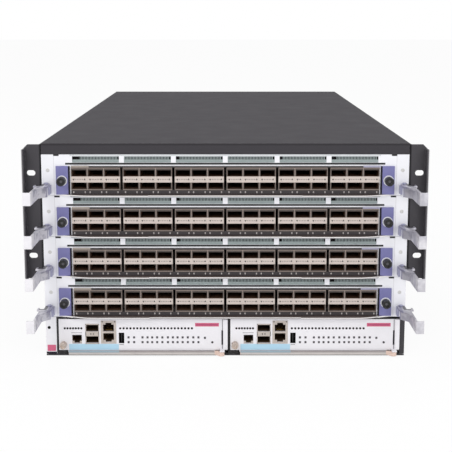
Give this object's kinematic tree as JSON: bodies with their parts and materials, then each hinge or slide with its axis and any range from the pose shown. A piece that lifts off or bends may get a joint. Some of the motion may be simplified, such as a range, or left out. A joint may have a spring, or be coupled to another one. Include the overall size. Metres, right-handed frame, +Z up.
{
  "type": "modular chassis switch",
  "caption": "Rack-mounted modular network switch with stacked port cards, ejector levers, management modules below, and fans and power supplies at the rear.",
  "frame": {"origin": "middle of the underside of the case, in the plane that it stands on", "axes": "+X to the right seen from the front, +Y from the port side to the fans at the back, +Z up"},
  "size_m": [0.4826, 0.8128, 0.264],
  "materials": {
    "cover_paint": "fine textured dark grey powder coat",
    "zinc_sheet": "plain zinc-plated sheet",
    "white_paint": "smooth cool white coat",
    "black_paint": "matt black coat",
    "circuit_board": "solder-masked laminate",
    "ear_paint": "dark powder coat",
    "screw_metal": "plated steel",
    "blue_paint": "satin violet-blue coat",
    "port_metal": "dull nickel-plated cage",
    "knob_black": "black anodised knob",
    "nickel": "bright nickel plate",
    "lever_zinc": "pale zinc plate",
    "arm_metal": "pale zinc plate",
    "fan_plastic": "black moulded plastic"
  },
  "bodies": {
    "chassis": {"top_cover": "cover_paint", "lower_pan": "cover_paint", "card_cage": "zinc_sheet", "end_strip_left": "white_paint", "end_strip_right": "black_paint", "backplane": "circuit_board", "rear_sleeve": "zinc_sheet", "rack_ear_left": "ear_paint", "rack_ear_right": "ear_paint", "case_screws": "screw_metal"},
    "card_1": {"card_1_panel": "white_paint", "card_1_board": "circuit_board", "card_1_ports": "port_metal", "card_1_end_plates": "blue_paint"},
    "card_1_lever_left": {"card_1_lever_left": "lever_zinc"},
    "card_1_screw_left": {"card_1_screw_left": "knob_black"},
    "card_1_lever_right": {"card_1_lever_right": "lever_zinc"},
    "card_1_screw_right": {"card_1_screw_right": "knob_black"},
    "card_2": {"card_2_panel": "white_paint", "card_2_board": "circuit_board", "card_2_ports": "port_metal", "card_2_end_plates": "blue_paint"},
    "card_2_lever_left": {"card_2_lever_left": "lever_zinc"},
    "card_2_screw_left": {"card_2_screw_left": "knob_black"},
    "card_2_lever_right": {"card_2_lever_right": "lever_zinc"},
    "card_2_screw_right": {"card_2_screw_right": "knob_black"},
    "card_3": {"card_3_panel": "white_paint", "card_3_board": "circuit_board", "card_3_ports": "port_metal", "card_3_end_plates": "blue_paint"},
    "card_3_lever_left": {"card_3_lever_left": "lever_zinc"},
    "card_3_screw_left": {"card_3_screw_left": "knob_black"},
    "card_3_lever_right": {"card_3_lever_right": "lever_zinc"},
    "card_3_screw_right": {"card_3_screw_right": "knob_black"},
    "card_4": {"card_4_panel": "white_paint", "card_4_board": "circuit_board", "card_4_ports": "port_metal", "card_4_end_plates": "blue_paint"},
    "card_4_lever_left": {"card_4_lever_left": "lever_zinc"},
    "card_4_screw_left": {"card_4_screw_left": "knob_black"},
    "card_4_lever_right": {"card_4_lever_right": "lever_zinc"},
    "card_4_screw_right": {"card_4_screw_right": "knob_black"},
    "mpu_1": {"mpu_1_panel": "white_paint", "mpu_1_ports": "port_metal"},
    "mpu_1_lever": {"mpu_1_lever": "arm_metal"},
    "mpu_1_screw": {"mpu_1_screw": "nickel"},
    "mpu_2": {"mpu_2_panel": "white_paint", "mpu_2_ports": "port_metal"},
    "mpu_2_lever": {"mpu_2_lever": "arm_metal"},
    "mpu_2_screw": {"mpu_2_screw": "nickel"},
    "fan_module_left": {"fan_module_left": "zinc_sheet", "fan_grille_left": "black_paint"},
    "fan_rotor_left": {"fan_rotor_left": "fan_plastic"},
    "fan_module_right": {"fan_module_right": "zinc_sheet", "fan_grille_right": "black_paint"},
    "fan_rotor_right": {"fan_rotor_right": "fan_plastic"},
    "power_supply_1": {"power_supply_1": "zinc_sheet"},
    "power_supply_2": {"power_supply_2": "zinc_sheet"},
    "power_supply_3": {"power_supply_3": "zinc_sheet"},
    "power_supply_4": {"power_supply_4": "zinc_sheet"}
  },
  "joints": [
    {"name": "card_1_slide", "type": "slide", "parent": "chassis", "child": "card_1", "axis": [0, -1, 0], "range_m": [0, 0.38]},
    {"name": "card_1_lever_left_pivot", "type": "hinge", "parent": "card_1", "child": "card_1_lever_left", "pos_m": [-0.2136, -0.37115, 0.064], "axis": [0, 0, -1], "range_deg": [0, 50]},
    {"name": "card_1_lever_right_pivot", "type": "hinge", "parent": "card_1", "child": "card_1_lever_right", "pos_m": [0.2136, -0.37115, 0.064], "axis": [0, 0, 1], "range_deg": [0, 50]},
    {"name": "card_2_slide", "type": "slide", "parent": "chassis", "child": "card_2", "axis": [0, -1, 0], "range_m": [0, 0.38]},
    {"name": "card_2_lever_left_pivot", "type": "hinge", "parent": "card_2", "child": "card_2_lever_left", "pos_m": [-0.2136, -0.37115, 0.1143], "axis": [0, 0, -1], "range_deg": [0, 50]},
    {"name": "card_2_lever_right_pivot", "type": "hinge", "parent": "card_2", "child": "card_2_lever_right", "pos_m": [0.2136, -0.37115, 0.1143], "axis": [0, 0, 1], "range_deg": [0, 50]},
    {"name": "card_3_slide", "type": "slide", "parent": "chassis", "child": "card_3", "axis": [0, -1, 0], "range_m": [0, 0.38]},
    {"name": "card_3_lever_left_pivot", "type": "hinge", "parent": "card_3", "child": "card_3_lever_left", "pos_m": [-0.2136, -0.37115, 0.1646], "axis": [0, 0, -1], "range_deg": [0, 50]},
    {"name": "card_3_lever_right_pivot", "type": "hinge", "parent": "card_3", "child": "card_3_lever_right", "pos_m": [0.2136, -0.37115, 0.1646], "axis": [0, 0, 1], "range_deg": [0, 50]},
    {"name": "card_4_slide", "type": "slide", "parent": "chassis", "child": "card_4", "axis": [0, -1, 0], "range_m": [0, 0.38]},
    {"name": "card_4_lever_left_pivot", "type": "hinge", "parent": "card_4", "child": "card_4_lever_left", "pos_m": [-0.2136, -0.37115, 0.2149], "axis": [0, 0, -1], "range_deg": [0, 50]},
    {"name": "card_4_lever_right_pivot", "type": "hinge", "parent": "card_4", "child": "card_4_lever_right", "pos_m": [0.2136, -0.37115, 0.2149], "axis": [0, 0, 1], "range_deg": [0, 50]},
    {"name": "mpu_1_slide", "type": "slide", "parent": "chassis", "child": "mpu_1", "axis": [0, -1, 0], "range_m": [0, 0.37]},
    {"name": "mpu_1_lever_pivot", "type": "hinge", "parent": "mpu_1", "child": "mpu_1_lever", "pos_m": [-0.0037, -0.36965, 0.0041], "axis": [0, 0, 1], "range_deg": [0, 70]},
    {"name": "mpu_2_slide", "type": "slide", "parent": "chassis", "child": "mpu_2", "axis": [0, -1, 0], "range_m": [0, 0.37]},
    {"name": "mpu_2_lever_pivot", "type": "hinge", "parent": "mpu_2", "child": "mpu_2_lever", "pos_m": [0.2069, -0.36965, 0.0041], "axis": [0, 0, 1], "range_deg": [0, 70]},
    {"name": "fan_module_left_slide", "type": "slide", "parent": "chassis", "child": "fan_module_left", "axis": [0, 1, 0], "range_m": [0, 0.11]},
    {"name": "fan_rotor_left_spin", "type": "hinge", "parent": "fan_module_left", "child": "fan_rotor_left", "pos_m": [-0.1081, 0.32115, 0.1532], "axis": [0, 1, 0], "continuous": true},
    {"name": "fan_module_right_slide", "type": "slide", "parent": "chassis", "child": "fan_module_right", "axis": [0, 1, 0], "range_m": [0, 0.11]},
    {"name": "fan_rotor_right_spin", "type": "hinge", "parent": "fan_module_right", "child": "fan_rotor_right", "pos_m": [0.1081, 0.32115, 0.1532], "axis": [0, 1, 0], "continuous": true},
    {"name": "power_supply_1_slide", "type": "slide", "parent": "chassis", "child": "power_supply_1", "axis": [0, 1, 0], "range_m": [0, 0.31]},
    {"name": "power_supply_2_slide", "type": "slide", "parent": "chassis", "child": "power_supply_2", "axis": [0, 1, 0], "range_m": [0, 0.31]},
    {"name": "power_supply_3_slide", "type": "slide", "parent": "chassis", "child": "power_supply_3", "axis": [0, 1, 0], "range_m": [0, 0.31]},
    {"name": "power_supply_4_slide", "type": "slide", "parent": "chassis", "child": "power_supply_4", "axis": [0, 1, 0], "range_m": [0, 0.31]},
    {"name": "card_1_screw_left_turn", "type": "hinge", "parent": "card_1", "child": "card_1_screw_left", "pos_m": [-0.1953, -0.36865, 0.0682], "axis": [0, -1, 0], "continuous": true},
    {"name": "card_1_screw_right_turn", "type": "hinge", "parent": "card_1", "child": "card_1_screw_right", "pos_m": [0.1953, -0.36865, 0.0682], "axis": [0, -1, 0], "continuous": true},
    {"name": "card_2_screw_left_turn", "type": "hinge", "parent": "card_2", "child": "card_2_screw_left", "pos_m": [-0.1953, -0.36865, 0.1185], "axis": [0, -1, 0], "continuous": true},
    {"name": "card_2_screw_right_turn", "type": "hinge", "parent": "card_2", "child": "card_2_screw_right", "pos_m": [0.1953, -0.36865, 0.1185], "axis": [0, -1, 0], "continuous": true},
    {"name": "card_3_screw_left_turn", "type": "hinge", "parent": "card_3", "child": "card_3_screw_left", "pos_m": [-0.1953, -0.36865, 0.1688], "axis": [0, -1, 0], "continuous": true},
    {"name": "card_3_screw_right_turn", "type": "hinge", "parent": "card_3", "child": "card_3_screw_right", "pos_m": [0.1953, -0.36865, 0.1688], "axis": [0, -1, 0], "continuous": true},
    {"name": "card_4_screw_left_turn", "type": "hinge", "parent": "card_4", "child": "card_4_screw_left", "pos_m": [-0.1953, -0.36865, 0.2191], "axis": [0, -1, 0], "continuous": true},
    {"name": "card_4_screw_right_turn", "type": "hinge", "parent": "card_4", "child": "card_4_screw_right", "pos_m": [0.1953, -0.36865, 0.2191], "axis": [0, -1, 0], "continuous": true},
    {"name": "mpu_1_screw_turn", "type": "hinge", "parent": "mpu_1", "child": "mpu_1_screw", "pos_m": [-0.1987, -0.36865, 0.014], "axis": [0, -1, 0], "continuous": true},
    {"name": "mpu_2_screw_turn", "type": "hinge", "parent": "mpu_2", "child": "mpu_2_screw", "pos_m": [0.0119, -0.36865, 0.014], "axis": [0, -1, 0], "continuous": true}
  ]
}
